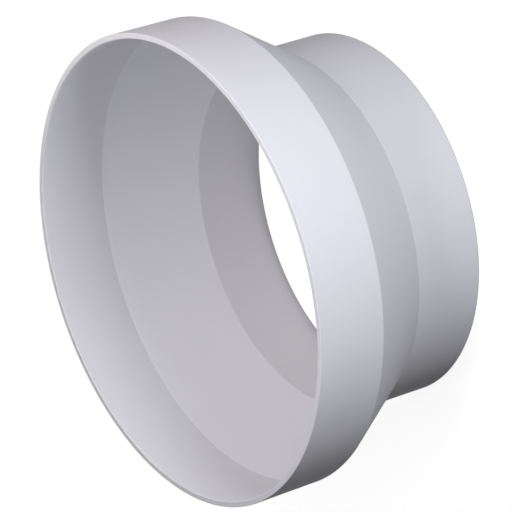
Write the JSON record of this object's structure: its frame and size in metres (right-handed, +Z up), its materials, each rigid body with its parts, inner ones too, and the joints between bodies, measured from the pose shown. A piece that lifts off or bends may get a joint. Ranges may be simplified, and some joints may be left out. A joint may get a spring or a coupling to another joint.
{
  "type": "duct reducer",
  "caption": "Concentric moulded plastic duct reducer: a wide socket takes the end of a larger round duct, and a cone narrows it to a spigot that pushes into a smaller round duct.",
  "frame": {"origin": "on the duct's axis, in the plane of the spigot's rim, which the reducer stands on", "axes": "+Z up along the duct's axis, from the spigot's rim to the socket's mouth; X and Y are any two directions across it"},
  "size_m": [0.1286, 0.1286, 0.0625],
  "materials": {
    "white_plastic": "satin"
  },
  "bodies": {
    "root": {"duct_reducer": "white_plastic"}
  },
  "joints": []
}
